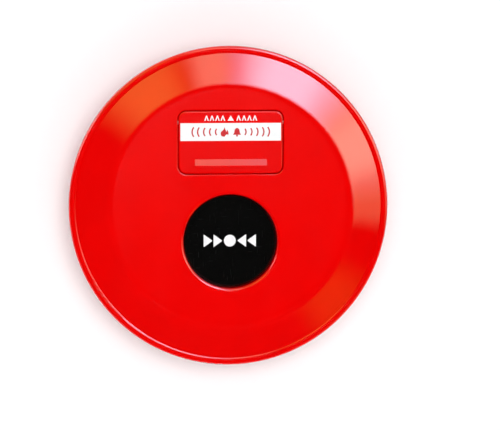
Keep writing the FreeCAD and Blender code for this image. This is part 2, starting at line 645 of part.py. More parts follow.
# ---------------------------------------------------------------- sub-parts: compartment
def make_phone_jack():
    bushing = f"({POCKET_FLOOR} + jack_proud - {POCKET_BACK})"
    case = block("jack_case", "jack_x", JACK_Z, f"{POCKET_BACK} - jack_depth", "jack_width",
                 "jack_height", "jack_depth")
    thread = rod("jack_thread", "bush_thread", "jack_x", JACK_Z, POCKET_BACK, bushing)
    bore = rod("jack_bore", "plug_radius", "jack_x", JACK_Z,
               f"{POCKET_BACK} - jack_depth + pocket_wall", f"jack_depth - pocket_wall + {bushing}")
    return cut("phone_jack", fuse("jack_blank", case, thread), bore)


def make_jack_nut():
    body = new_body("jack_nut")
    points = [(f"nut_radius * cos({60 * step})", f"nut_radius * sin({60 * step})")
              for step in range(6)]
    extrude(body, "Pad", "hexagon", POCKET_FLOOR, "nut_thick",
            (outline, points), (circle, "0", "0", "bush_thread + thread_gap"))
    return place(body, "jack_x", "0", JACK_Z)


def make_jack_contacts():
    lugs = [block(f"jack_lug_{index}", f"jack_x + {index - 1} * jack_width / 4", JACK_Z,
                  f"{POCKET_BACK} - jack_depth - pocket_wall", "pocket_wall / 4", "jack_height / 3",
                  "pocket_wall") for index in range(3)]
    return group("jack_contacts", lugs)


def make_response_lamp():
    dome = f"{POCKET_FLOOR} + lamp_proud"
    return fuse("response_lamp", rod("lamp_skirt", "lamp_base", "0", LAMP_Z, LAMP_BASE, "1"),
                rod("lamp_barrel", "lamp_radius", "0", LAMP_Z, LAMP_BASE, f"{dome} - {LAMP_BASE}"),
                ball("lamp_dome", "lamp_radius", "0", dome, LAMP_Z))


def make_lamp_spacer():
    length = f"{LAMP_BASE} - {BOARD_FRONT}"
    outer = rod("spacer_outer", "lamp_base", "0", LAMP_Z, BOARD_FRONT, length)
    bores = [rod(f"spacer_bore_{side}", "1.5 * lead_radius", f"{side} * lead_offset", LAMP_Z,
                 BOARD_FRONT, length) for side in SIDES]
    return cut("lamp_spacer", outer, *bores)


def make_lamp_leads():
    leads = [rod(f"lamp_lead_{side}", "lead_radius", f"{side} * lead_offset", LAMP_Z,
                 f"{BOARD_BACK} - 1", f"{LAMP_BASE} - {BOARD_BACK} + 1") for side in SIDES]
    return group("lamp_leads", leads)


def make_reset_lever():
    """Rocker: its tab stands in the compartment, its hook beside the carrier's flange."""
    riser_z = f"{HOOK_Z} + hook_reach + latch_width / 2"
    low = f"{LATCH_HEIGHT} - latch_width / 2"
    hook_back = f"({FLANGE_FRONT} - button_travel + stop_gap / 2)"
    web_low = f"({HOOK_Z} + hook_reach)"
    web_high = f"({TAB_Z} + latch_width / 2)"
    pieces = [
        cross_rod("lever_hub", "latch_hub", "-lever_width / 2 - latch_width", LATCH_HEIGHT,
                  LATCH_Z, "lever_width + latch_width"),
        block("lever_web", "0", f"({web_low} + {web_high}) / 2", low, "lever_width",
              f"{web_high} - {web_low}", "latch_width"),
        block("lever_tab", "0", TAB_Z, low, "lever_width", "latch_width",
              f"{POCKET_FLOOR} + tab_proud - {low}"),
        block("lever_riser", "0", riser_z, low, "lever_width", "latch_width",
              f"{hook_back} + hook_height - {low}"),
        block("lever_hook", "0", f"{HOOK_Z} + hook_reach / 2 + latch_width / 4", hook_back,
              "lever_width", "(hook_reach + latch_width / 2)", "hook_height")]
    bore = cross_rod("lever_bore", "latch_pin + pin_gap", "-lever_width", LATCH_HEIGHT, LATCH_Z,
                     "2 * lever_width")
    return cut("reset_lever", fuse("lever_blank", *pieces), bore)


def make_latch_pin():
    return cross_rod("latch_pin", "latch_pin", "-ear_x - latch_width / 2", LATCH_HEIGHT, LATCH_Z,
                     "2 * ear_x + latch_width")


def make_latch_spring():
    """Close-wound torsion spring beside the lever's hub, drawn as a sleeve with two legs."""
    start = "lever_width / 2 + press_gap"
    length = "ear_x - (lever_width + latch_width) / 2 - 2 * press_gap"
    wire = "lead_radius"
    outer = cross_rod("latch_coil_outer", f"latch_pin + 3 * {wire}", start, LATCH_HEIGHT, LATCH_Z,
                      length)
    inner = cross_rod("latch_coil_inner", f"latch_pin + {wire}", start, LATCH_HEIGHT, LATCH_Z,
                      length)
    leg = rod("latch_leg", wire, f"{start} + 2 * {wire}", f"{LATCH_Z} + latch_pin + 2 * {wire}",
              f"{LATCH_HEIGHT} - 2 * latch_drop", "2 * latch_drop")
    return cut("latch_spring", fuse("latch_coil", outer, leg), inner)


# ---------------------------------------------------------------- sub-parts: circuit board
def make_circuit_board():
    body = new_body("circuit_board")
    extrude(body, "Pad", "sheet", BOARD_BACK, "board_thick",
            (rectangle, "board_x", "board_z", "board_width", "board_height"))
    holes = [(circle, x, z, "board_screw + fit_gap") for x, z in board_corners()]
    holes += [(circle, f"{side} * lead_offset", LAMP_Z, "2 * lead_radius") for side in SIDES]
    holes += [(circle, x, BUTTON_Z, "solder_radius + bore_gap") for x in solder_places()]
    extrude(body, "Pocket", "holes", BOARD_FRONT, "board_thick",
            (circle, "screw_x", SCREW_Z, "post_radius + fit_gap"), *holes)
    return body


def solder_places():
    return [f"switch_x + {step} * solder_pitch" for step in (-1, 0, 1)]


def make_board_screws():
    screws = [screw(f"board_screw_{index}", x, z, BOARD_FRONT, "board_screw",
                    "board_thick + standoff_height - 1.5", "2.4 * board_screw", "1.5 * board_screw")
              for index, (x, z) in enumerate(board_corners())]
    return group("board_screws", screws)


def make_switch_body():
    case = block("switch_case", "switch_x", BUTTON_Z, BOARD_FRONT, "switch_width", "switch_height",
                 "switch_depth")
    depth = "(plunger_travel + plunger_radius)"
    well = rod("switch_well", "plunger_radius + bore_gap", f"{PIVOT_X} + plunger_offset", BUTTON_Z,
               f"{SWITCH_TOP} - {depth}", depth)
    return cut("switch_body", case, well)


def make_switch_pins():
    pins = [rod(f"switch_pin_{index}", "solder_radius", x, BUTTON_Z, f"{BOARD_BACK} - 1.5",
                "board_thick + 1.5") for index, x in enumerate(solder_places())]
    return group("switch_pins", pins)


def make_switch_plunger():
    return rod("switch_plunger", "plunger_radius", f"{PIVOT_X} + plunger_offset", BUTTON_Z,
               f"{SWITCH_TOP} - plunger_radius / 2", "plunger_proud + plunger_radius / 2")


def make_switch_lever():
    """Thin blade hinged at the switch's left end, lying close under the button's stem."""
    low = f"{BUTTON_Z} - blade_width / 2"
    blade = DOC.addObject("Part::Box", "lever_blade")
    bind(blade, "Length", f"{ARM} + blade_end")
    bind(blade, "Width", "blade_thick")
    bind(blade, "Height", "blade_width")
    blade.Placement = Placement(Vector(), Rotation(Vector(0, 0, -1), 1))
    bind(blade, "Placement.Rotation.Angle", "blade_tilt")
    half = "blade_thick / 2"
    place(blade, f"{PIVOT_X} - {half} * sin(blade_tilt)",
          f"{PIVOT_HEIGHT} + {half} * cos(blade_tilt)", low)
    hub = DOC.addObject("Part::Cylinder", "lever_pivot")
    bind(hub, "Radius", "pivot_radius")
    bind(hub, "Height", "blade_width")
    place(hub, PIVOT_X, PIVOT_HEIGHT, low)
    return fuse("switch_lever", blade, hub)


def way_places():
    ways = count("ways")
    return [f"(terminal_z + {step - (ways - 1) / 2} * way_pitch)" for step in range(ways)]


def make_terminal_block():
    case = block("terminal_case", "terminal_x", "terminal_z", BOARD_FRONT, "terminal_width",
                 "ways * way_pitch", "terminal_depth")
    wells = [rod(f"terminal_well_{index}", "well_radius", "terminal_x", z,
                 f"{TERMINAL_TOP} - well_depth", "well_depth")
             for index, z in enumerate(way_places())]
    mouths = [block(f"terminal_mouth_{index}", "terminal_x - terminal_width / 4", z,
                    f"{BOARD_FRONT} + 1", "terminal_width / 2 + 2 * well_radius", "mouth_width",
                    "mouth_depth") for index, z in enumerate(way_places())]
    return cut("terminal_block", case, *wells, *mouths)


def make_terminal_screws():
    screws = [screw(f"terminal_screw_{index}", "terminal_x", z, f"{TERMINAL_TOP} - 0.7 * well_depth",
                    "0.6 * well_radius", "0.3 * well_depth", "well_radius - bore_gap",
                    "0.3 * well_depth") for index, z in enumerate(way_places())]
    return group("terminal_screws", screws)


def make_terminal_clamps():
    clamps = [block(f"terminal_clamp_{index}", "terminal_x", z, f"{BOARD_FRONT} + 1",
                    "2 * well_radius - 2 * bore_gap", "mouth_width - 2 * bore_gap", "mouth_depth / 4")
              for index, z in enumerate(way_places())]
    return group("terminal_clamps", clamps)


def make_line_resistors():
    parts = []
    axis = f"{BOARD_FRONT} + resistor_radius"
    for index in range(count("resistors")):
        z = f"resistor_z + {index} * resistor_pitch"
        parts.append(fuse(
            f"resistor_{index}",
            cross_rod(f"resistor_core_{index}", "resistor_radius", "resistor_x - resistor_length / 2",
                      axis, z, "resistor_length"),
            cross_rod(f"resistor_wire_{index}", "lead_radius", "resistor_x - 0.75 * resistor_length",
                      axis, z, "1.5 * resistor_length")))
    return group("line_resistors", parts)


MAKERS = (
    make_back_box, make_wall_gasket, make_cable_grommet, make_circuit_board, make_board_screws,
    make_terminal_block, make_terminal_screws, make_terminal_clamps, make_switch_body,
    make_switch_pins, make_switch_plunger, make_switch_lever, make_line_resistors,
    make_thread_insert, make_front_cover, make_flap_compartment, make_cover_screw,
    make_screw_retainer, make_guide_bracket, make_guide_screws, make_button_spring,
    make_button_carrier, make_push_disc, make_flap, make_flap_label, make_flap_pin,
    make_phone_jack, make_jack_nut, make_jack_contacts, make_response_lamp, make_lamp_spacer,
    make_lamp_leads, make_reset_lever, make_latch_pin, make_latch_spring)


def check_document(nodes):
    for item in DOC.Objects:
        if "Invalid" in item.State or "Error" in item.State:
            raise RuntimeError(f"{item.Label} failed: {item.State}")
    for node in nodes:
        if node.Shape.isNull() or not node.Shape.isValid() or not node.Shape.Solids:
            raise RuntimeError(f"{node.Label} has no valid solid")


def main():
    fill_sheet()
    nodes = [make() for make in MAKERS]
    DOC.recompute()
    check_document(nodes)
    os.makedirs("parts", exist_ok=True)
    for node in nodes:
        node.Shape.exportStep(f"parts/{node.Label}.step")
        print(f"{node.Label:18s} {len(node.Shape.Solids)} solid(s) {node.Shape.Volume:10.1f} mm3")


main()
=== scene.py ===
"""Finishes, printed marks, springs and studio for a round fire alarm station.

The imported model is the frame: the front faces -Y, +Z is up and the wall is y = 0.
Metres.  "Height" is the distance in front of the wall, so y = -height.
"""
import json
import math

import bmesh
import bpy
from bpy.props import FloatProperty, FloatVectorProperty, IntProperty, PointerProperty
from mathutils import Matrix, Vector


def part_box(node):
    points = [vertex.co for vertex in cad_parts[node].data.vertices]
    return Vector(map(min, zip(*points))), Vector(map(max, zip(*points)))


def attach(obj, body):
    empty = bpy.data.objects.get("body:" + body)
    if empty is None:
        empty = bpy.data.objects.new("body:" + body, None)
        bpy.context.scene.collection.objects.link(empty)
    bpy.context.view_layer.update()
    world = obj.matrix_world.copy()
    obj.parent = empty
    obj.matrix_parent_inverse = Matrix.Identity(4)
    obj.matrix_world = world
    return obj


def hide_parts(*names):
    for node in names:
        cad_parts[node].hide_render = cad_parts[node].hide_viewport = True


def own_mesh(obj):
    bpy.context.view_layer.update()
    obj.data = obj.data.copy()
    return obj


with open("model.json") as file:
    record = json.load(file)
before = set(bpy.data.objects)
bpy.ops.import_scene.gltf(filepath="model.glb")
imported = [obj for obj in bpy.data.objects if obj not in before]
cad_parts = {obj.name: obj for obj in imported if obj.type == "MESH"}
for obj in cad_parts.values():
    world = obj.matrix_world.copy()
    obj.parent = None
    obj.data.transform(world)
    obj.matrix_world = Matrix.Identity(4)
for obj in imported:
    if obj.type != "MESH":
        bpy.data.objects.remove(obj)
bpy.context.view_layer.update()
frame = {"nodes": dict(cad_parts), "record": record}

bl_info = {
    "name": "Fire alarm station finishes",
    "version": (1, 0, 0),
    "blender": (4, 5, 0),
    "location": "View3D > Sidebar > Station",
    "description": "Finishes, printed marks, springs and studio of a wall fire alarm station",
    "category": "Object",
}

MM = 0.001


def corners(node):
    low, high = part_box(node)
    return Vector(low), Vector(high)


def centre(node):
    low, high = corners(node)
    return (low + high) / 2


# ------------------------------------------------------------------ places and studio
CAD_FACE = corners("flap_label")[1].y
SPRING_TURNS = 3.0
WALL_GAP = 0.4 * MM
WALL_REACH = 1.1
WALL_HOLLOW = corners("wall_gasket")[1].x - 2 * MM
WALL_SIDES = 96
FLOOR_DROP = 0.8
FLOOR_WIDTH = 6.0
WORLD_STRENGTH = 0.55
LIGHT_FADE = 0.42
CAMERA_DISTANCE = 1.2
CAMERA_LENS = 186.0
CAMERA_ANGLES = (-5.0, 5.2)
CAMERA_SHIFT = (0.0385, -0.014)
# name, (angle round the front, tilt off the front, distance), (width, height), radiance, tint
SOFTBOXES = (
    ("key", (100, 8, 2.0), (1.2, 1.2), 15.4, (1.0, 1.0, 1.0)),
)
REFLECTORS = (
    ("upper_right", (58, 60, 1.2), (1.24, 1.2), 12.5, (0.7, 0.78, 1.0)),
    ("right", (19, 63, 1.2), (1.0, 1.15), 5.0, (1.0, 1.0, 0.75)),
    ("right_low", (-5, 66, 1.2), (0.4, 0.8), 1.3, (1.0, 1.0, 0.5)),
    ("lower_right", (-42, 68, 1.2), (0.7, 1.0), 0.4, (1.0, 0.8, 0.08)),
    ("top", (93, 62, 1.2), (0.5, 1.2), 3.2, (1.0, 0.9, 0.6)),
    ("upper_left", (124, 60, 1.2), (1.05, 1.2), 1.9, (1.0, 0.9, 0.17)),
    ("left_strip", (157, 80, 1.2), (0.6, 0.4), 12.0, (1.0, 1.0, 1.0)),
)


# ------------------------------------------------------------------ properties
def length(name, description, default):
    return FloatProperty(name=name, description=description, default=default, unit="LENGTH",
                         subtype="DISTANCE", precision=5)


def colour(name, description, default):
    return FloatVectorProperty(name=name, description=description, default=default,
                               subtype="COLOR", size=3, min=0, max=1)


class StationSizes(bpy.types.PropertyGroup):
    ink: length("Ink", "Thickness of a printed mark", 0.04 * MM)
    disc_mark: length("Disc mark", "Width of the row of marks on the push disc", 24.5 * MM)
    disc_mark_height: length("Disc mark height", "Height of the marks on the disc", 6 * MM)
    band_mark: length("Band mark", "Width of the row of symbols on the white band", 37.5 * MM)
    band_mark_height: length("Band mark height", "Height of those symbols", 4.4 * MM)
    top_mark: length("Top mark", "Width of the small marks above the band", 25 * MM)
    top_mark_height: length("Top mark height", "Height of those marks", 2.4 * MM)
    top_mark_rise: length("Top mark rise", "From the band's middle up to the marks", 6.4 * MM)
    wire: length("Spring wire", "Diameter of the button spring's wire", 0.9 * MM)
    spring_radius: length("Spring radius", "Middle radius of the button spring", 9 * MM)
    waves: IntProperty(name="Waves", description="Sound waves on each side of the pictures",
                       default=5, min=1)
    chevrons: IntProperty(name="Chevrons", description="Chevrons on each side of the triangle",
                          default=4, min=1)


class StationColours(bpy.types.PropertyGroup):
    cover: colour("Cover", "Red of the cover and flap", (0.74, 0.0, 0.0))
    box: colour("Back box", "Red of the back box", (0.58, 0.004, 0.004))
    disc: colour("Disc", "Black of the push disc", (0.0022, 0.0022, 0.002))
    print_white: colour("White print", "White of the printed marks and band", (0.84, 0.84, 0.84))
    print_red: colour("Red print", "Dark red of the symbols on the band", (0.55, 0.006, 0.01))
    wall: colour("Wall", "Painted wall", (0.93, 0.93, 0.935))


def sizes():
    return bpy.context.scene.station_sizes


def colours():
    return bpy.context.scene.station_colours


# ------------------------------------------------------------------ shader building
class Wire:
    """A shader value; arithmetic on it adds Math nodes."""

    def __init__(self, shader, socket):
        self.shader = shader
        self.socket = socket

    def maths(self, operation, *values):
        inputs = dict(enumerate(values))
        return self.shader.node("ShaderNodeMath", {"operation": operation}, inputs)

    def __add__(self, other):
        return self.maths("ADD", self, other)

    def __sub__(self, other):
        return self.maths("SUBTRACT", self, other)

    def __rsub__(self, other):
        return self.maths("SUBTRACT", other, self)

    def __mul__(self, other):
        return self.maths("MULTIPLY", self, other)

    def clamped(self, low, high, to_low=0.0, to_high=1.0):
        """This value with low..high stretched to to_low..to_high and held there."""
        limits = {"From Min": low, "From Max": high, "To Min": to_low, "To Max": to_high}
        return self.shader.node("ShaderNodeMapRange", {"clamp": True}, {"Value": self, **limits})

    __radd__ = __add__
    __rmul__ = __mul__


class Shader:
    """One material and its nodes."""

    def __init__(self, name):
        self.material = bpy.data.materials.new(name)
        self.material.use_nodes = True
        self.tree = self.material.node_tree
        self.tree.nodes.clear()

    def node(self, kind, settings=None, inputs=None, output=0):
        """Add a node: its settings first, then the values or links of its sockets."""
        item = self.tree.nodes.new(kind)
        for name, setting in (settings or {}).items():
            setattr(item, name, setting)
        for key, value in (inputs or {}).items():
            socket = item.inputs[key] if isinstance(key, int) else self.enabled(item.inputs, key)
            if isinstance(value, Wire):
                self.tree.links.new(value.socket, socket)
            else:
                socket.default_value = value
        chosen = item.outputs[output] if isinstance(output, int) else self.enabled(item.outputs, output)
        return Wire(self, chosen)

    @staticmethod
    def enabled(sockets, name):
        return next(item for item in sockets if item.name == name and item.enabled)

    def place(self, scale=(1, 1, 1), turn=(0, 0, 0)):
        """The point on the object, turned and stretched."""
        point = self.node("ShaderNodeTexCoord", output="Object")
        return self.node("ShaderNodeMapping", {}, {"Vector": point, "Scale": scale, "Rotation": turn})

    def noise(self, size, detail=2.0, rough=0.5, stretch=(1, 1, 1), turn=(0, 0, 0)):
        """Noise whose features are about this size, in metres."""
        inputs = {"Vector": self.place(stretch, turn), "Scale": 1 / size, "Detail": detail,
                  "Roughness": rough}
        return self.node("ShaderNodeTexNoise", {}, inputs, "Fac")

    def mix(self, factor, first, second):
        inputs = {"Factor": factor, "A": paint(first), "B": paint(second)}
        return self.node("ShaderNodeMix", {"data_type": "RGBA"}, inputs, "Result")

    def bump(self, height, distance, strength):
        return self.node("ShaderNodeBump", {}, {
            "Height": height, "Distance": distance, "Strength": strength})

    def finish(self, **inputs):
        """Close the material with a Principled surface; an underscore stands for a space."""
        named = {key.replace("_", " "): paint(value) for key, value in inputs.items()}
        surface = self.node("ShaderNodeBsdfPrincipled", {}, named)
        self.node_output(surface)
        return self.material

    def node_output(self, surface):
        end = self.tree.nodes.new("ShaderNodeOutputMaterial")
        self.tree.links.new(surface.socket, end.inputs["Surface"])


def paint(value):
    """A colour with its alpha; anything else unchanged."""
    if isinstance(value, (tuple, list)) or hasattr(value, "hsv"):
        return (*value, 1.0) if len(value) == 3 else tuple(value)
    return value


def tinted(base, factor):
    return tuple(min(1.0, channel * factor) for channel in base)


# ------------------------------------------------------------------ materials
def gloss_moulding(name, base, gloss=0.085, coat=0.35):
    """Polished moulding: faint flow mottle, fine dust in the gloss, slight surface ripple."""
    shader = Shader(name)
    mottle = shader.noise(14 * MM, 3.0)
    dust = shader.noise(0.7 * MM, 4.0, 0.7).clamped(0.62, 0.8)
    smear = shader.noise(9 * MM, 3.0, 0.6, stretch=(1, 1, 0.35)).clamped(0.4, 0.75)
    shade = shader.mix(mottle.clamped(0.3, 0.7), tinted(base, 0.965), tinted(base, 1.02))
    ripple = shader.noise(5 * MM, 1.0)
    return shader.finish(
        Base_Color=shade, Roughness=smear * 0.03 + dust * 0.05 + gloss, IOR=1.5,
        Coat_Weight=coat - dust * 0.1, Coat_Roughness=0.04,
        Normal=shader.bump(ripple, 0.012 * MM, 0.6))


def satin_moulding(name, base, roughness=0.42, grain=0.35 * MM, depth=0.02 * MM, spread=0.06):
    """Spark-eroded moulding: an even fine grain over a slightly uneven colour."""
    shader = Shader(name)
    mottle = shader.noise(11 * MM, 4.0)
    fine = shader.noise(grain, 3.0, 0.65)
    shade = shader.mix(mottle.clamped(0.3, 0.7), tinted(base, 1 - spread), tinted(base, 1 + spread))
    return shader.finish(
        Base_Color=shade, Roughness=fine.clamped(0.3, 0.7, roughness - 0.05, roughness + 0.06),
        Normal=shader.bump(fine, depth, 0.7))


def disc_moulding(name, base):
    """Smooth black push disc with hairline scratches left by fingers."""
    shader = Shader(name)
    hairs = shader.noise(0.35 * MM, 2.0, 0.5, stretch=(1, 1, 0.05), turn=(0, 0.9, 0))
    more = shader.noise(0.3 * MM, 2.0, 0.5, stretch=(0.05, 1, 1), turn=(0, 0.35, 0))
    scratch = hairs.clamped(0.66, 0.74) + more.clamped(0.68, 0.76)
    touch = shader.noise(10 * MM, 3.0, 0.6).clamped(0.4, 0.7)
    shade = shader.mix(scratch * 0.22, base, tinted(base, 2.4))
    return shader.finish(
        Base_Color=shade, Roughness=touch * 0.06 + scratch * 0.1 + 0.2, Specular_IOR_Level=0.35,
        Normal=shader.bump(scratch, -0.004 * MM, 0.5))


def printed(name, base, roughness=0.38):
    """Screen-printed ink: slightly uneven density and a fine grain."""
    shader = Shader(name)
    density = shader.noise(1.6 * MM, 4.0, 0.6)
    grain = shader.noise(0.18 * MM, 2.0)
    shade = shader.mix(density.clamped(0.3, 0.75), tinted(base, 0.95), tinted(base, 1.01))
    return shader.finish(
        Base_Color=shade, Roughness=grain.clamped(0.3, 0.7, roughness - 0.04, roughness + 0.05),
        Normal=shader.bump(grain, 0.004 * MM, 0.5))


def rubber(name, base, cell, depth):
    """Foam or soft rubber: small cells under a dusty bloom."""
    shader = Shader(name)
    cells = shader.node("ShaderNodeTexVoronoi", {"feature": "F1"},
                        {"Vector": shader.place(), "Scale": 1 / cell}, "Distance")
    bloom = shader.noise(4 * MM, 4.0, 0.6)
    shade = shader.mix(bloom.clamped(0.35, 0.7), base, tinted(base, 1.7))
    return shader.finish(Base_Color=shade, Roughness=bloom.clamped(0.3, 0.7, 0.72, 0.9),
                         Specular_IOR_Level=0.3, Normal=shader.bump(cells, depth, 0.8))


def metal(name, base, roughness=0.28, stretch=(1, 0.06, 1), grain=0.25 * MM):
    """Drawn or turned metal: fine lines and cloudy plating."""
    shader = Shader(name)
    lines = shader.noise(grain, 3.0, 0.6, stretch=stretch)
    cloud = shader.noise(2.5 * MM, 4.0, 0.6)
    shade = shader.mix(cloud.clamped(0.3, 0.75), tinted(base, 0.82), tinted(base, 1.05))
    rough = lines.clamped(0.3, 0.7, roughness - 0.07, roughness + 0.1)
    return shader.finish(Base_Color=shade, Metallic=1.0, Roughness=rough,
                         Normal=shader.bump(lines, 0.006 * MM, 0.6))


def laminate(name, base, copper):
    """Circuit board: solder resist over a grid of tracks, with a woven glass texture."""
    shader = Shader(name)
    tracks = shader.node("ShaderNodeTexBrick", {"offset": 0.5, "squash": 1.0},
                         {"Vector": shader.place(turn=(math.radians(90), 0, 0)), "Scale": 1.0,
                          "Mortar Size": 0.35 * MM, "Mortar Smooth": 0.0, "Brick Width": 9 * MM,
                          "Row Height": 2.54 * MM}, "Fac")
    weave = shader.noise(0.4 * MM, 1.0)
    cloud = shader.noise(8 * MM, 3.0)
    ground = shader.mix(cloud.clamped(0.3, 0.7), tinted(base, 0.9), tinted(base, 1.12))
    shade = shader.mix(tracks * 0.6, ground, copper)
    return shader.finish(Base_Color=shade, Roughness=weave.clamped(0.3, 0.7, 0.24, 0.36),
                         Coat_Weight=0.3, Normal=shader.bump(tracks + weave * 0.2, 0.03 * MM, 0.5))


def lamp_dome(name, base):
    """Tinted clear dome with painted shade: darker towards its rim, where the surface turns away from
    the view.
    """
    shader = Shader(name)
    # Painted shade: the facing weight darkens the dome's colour where it turns away from the view.
    edge = shader.node("ShaderNodeLayerWeight", {}, {"Blend": 0.4}, "Facing")
    swirl = shader.noise(1.5 * MM, 2.0)
    shade = shader.mix(edge, tinted(base, 1.3), tinted(base, 0.45))
    return shader.finish(Base_Color=shade, Roughness=swirl.clamped(0.3, 0.7, 0.04, 0.1),
                         Coat_Weight=0.8, Emission_Color=tinted(base, 0.3), Emission_Strength=0.15)


def painted_wall(name, base):
    """Matt paint; its back is clear, so the station also shows from behind the wall."""
    shader = Shader(name)
    roller = shader.noise(2.2 * MM, 4.0, 0.6)
    cloud = shader.noise(180 * MM, 2.0)
    shade = shader.mix(cloud, tinted(base, 0.985), base)
    front = shader.node("ShaderNodeBsdfPrincipled", {}, {
        "Base Color": shade, "Roughness": 0.85, "Specular IOR Level": 0.0,
        "Normal": shader.bump(roller, 0.05 * MM, 0.35)})
    behind = shader.node("ShaderNodeBsdfTransparent")
    back_side = shader.node("ShaderNodeNewGeometry", output="Backfacing")
    shader.node_output(shader.node("ShaderNodeMixShader", {}, {0: back_side, 1: front, 2: behind}))
    return shader.material


def make_materials():
    """One finish for each of the record's material slots."""
    steel, wire, brass = (0.62, 0.62, 0.63), (0.5, 0.5, 0.51), (0.78, 0.58, 0.27)
    nylon, dark = (0.74, 0.72, 0.66), (0.014, 0.014, 0.015)
    return {
        "cover_red": gloss_moulding("cover_red", colours().cover),
        "flap_red": gloss_moulding("flap_red", colours().cover, gloss=0.1),
        "disc_black": disc_moulding("disc_black", colours().disc),
        "label_white": printed("label_white", colours().print_white),
        "label_red": printed("label_red", colours().print_red),
        "box_red": satin_moulding("box_red", colours().box, 0.4),
        "gasket_black": rubber("gasket_black", (0.02, 0.02, 0.021), 0.5 * MM, 0.12 * MM),
        "grommet_rubber": rubber("grommet_rubber", (0.03, 0.03, 0.032), 0.3 * MM, 0.01 * MM),
        "board_green": laminate("board_green", (0.012, 0.13, 0.05), (0.05, 0.3, 0.12)),
        "steel": metal("steel", steel),
        "spring_steel": metal("spring_steel", wire, 0.24, (0.2, 0.2, 0.2)),
        "brass": metal("brass", brass, 0.26),
        "terminal_grey": satin_moulding("terminal_grey", (0.2, 0.22, 0.23)),
        "nylon_white": satin_moulding("nylon_white", nylon, 0.45, 0.5 * MM, 0.008 * MM, 0.03),
        "carrier_black": satin_moulding("carrier_black", (0.025, 0.025, 0.026)),
        "bracket_grey": satin_moulding("bracket_grey", (0.3, 0.3, 0.31)),
        "switch_black": gloss_moulding("switch_black", dark, 0.2, 0.1),
        "lamp_red": lamp_dome("lamp_red", (0.62, 0.01, 0.01)),
        "resistor_tan": satin_moulding("resistor_tan", (0.52, 0.38, 0.22), 0.5),
    }


MATERIALS = {}


def joint_range(name):
    """How far a sliding joint goes."""
    joints = frame["record"]["behaviour"]["joints"]
    return next(joint["range_m"][1] for joint in joints if joint["name"] == name)


def node_slot(node):
    return next(part["material_slot"] for part in frame["record"]["subparts"]
                if part["node"] == node)


# ------------------------------------------------------------------ mesh building
def new_piece(name, mesh, material, body):
    piece = bpy.data.objects.new(name, mesh)
    bpy.context.scene.collection.objects.link(piece)
    mesh.materials.clear()
    mesh.materials.append(MATERIALS[material])
    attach(piece, body)
    return piece


def fair_copy(node):
    """The node's surface joined up, with hard edges kept and true normals between them."""
    mesh = frame["nodes"][node].data.copy()
    mesh.name = f"{node}_skin"
    work = bmesh.new()
    work.from_mesh(mesh)
    bmesh.ops.remove_doubles(work, verts=work.verts, dist=0.001 * MM)
    for face in work.faces:
        face.smooth = True
    for edge in work.edges:
        edge.smooth = len(edge.link_faces) == 2 and edge.calc_face_angle(0) < math.radians(24)
    work.to_mesh(mesh)
    work.free()
    return mesh


def skin(node, body):
    """Stand a fair copy in for a CAD node, its flat faces kept flat by weighted normals."""
    piece = new_piece(f"{node}_skin", fair_copy(node), node_slot(node), body)
    weights = piece.modifiers.new("true_normals", "WEIGHTED_NORMAL")
    weights.keep_sharp = True
    weights.weight = 100
    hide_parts(node)
    return piece


def flat_prisms(name, outlines, height, thickness):
    """Closed thin plates with these (x, z) outlines, standing on a height."""
    work = bmesh.new()
    for outline in outlines:
        back = [work.verts.new((x, -height, z)) for x, z in outline]
        front = [work.verts.new((x, -height - thickness, z)) for x, z in outline]
        work.faces.new(back)
        work.faces.new(front[::-1])
        for index in range(len(outline)):
            work.faces.new((back[index - 1], back[index], front[index], front[index - 1]))
    bmesh.ops.triangulate(work, faces=[face for face in work.faces if len(face.verts) > 4])
    bmesh.ops.recalc_face_normals(work, faces=work.faces)
    mesh = bpy.data.meshes.new(name)
    work.to_mesh(mesh)
    work.free()
    return mesh


def circle_points(x, z, radius, steps=40):
    turns = [math.tau * step / steps for step in range(steps)]
    return [(x + radius * math.cos(turn), z + radius * math.sin(turn)) for turn in turns]


def rounded_polygon(points, radius, steps=5):
    """The outline with each corner turned into a short curve."""
    outline = []
    for index, corner in enumerate(points):
        corner = Vector(corner)
        before, after = Vector(points[index - 1]), Vector(points[(index + 1) % len(points)])
        start = corner + (before - corner).normalized() * radius
        end = corner + (after - corner).normalized() * radius
        for step in range(steps + 1):
            part = step / steps
            outline.append(tuple(start.lerp(corner, part).lerp(corner.lerp(end, part), part)))
    return outline


def bezier_outline(knots, steps=8):
    """Closed outline through (x, z) knots, each with the control point before and after it."""
    outline = []
    for index, (_, start, after) in enumerate(knots):
        before, end, _ = knots[(index + 1) % len(knots)]
        for step in range(steps):
            t = step / steps
            weights = ((1 - t) ** 3, 3 * t * (1 - t) ** 2, 3 * t * t * (1 - t), t ** 3)
            outline.append(tuple(sum(weight * point[axis] for weight, point in
                                     zip(weights, (start, after, before, end)))
                                 for axis in (0, 1)))
    return outline


def chevron(width, height, line):
    """A roof-shaped outline about the origin."""
    half, low = width / 2, -height / 2
    return [(-half, low), (-half + line, low), (0, height / 2 - 1.3 * line), (half - line, low),
            (half, low), (0.1 * width, height / 2), (-0.1 * width, height / 2)]


def moved(outline, x, z, scale=1.0):
    return [(x + scale * px, z + scale * pz) for px, pz in outline]


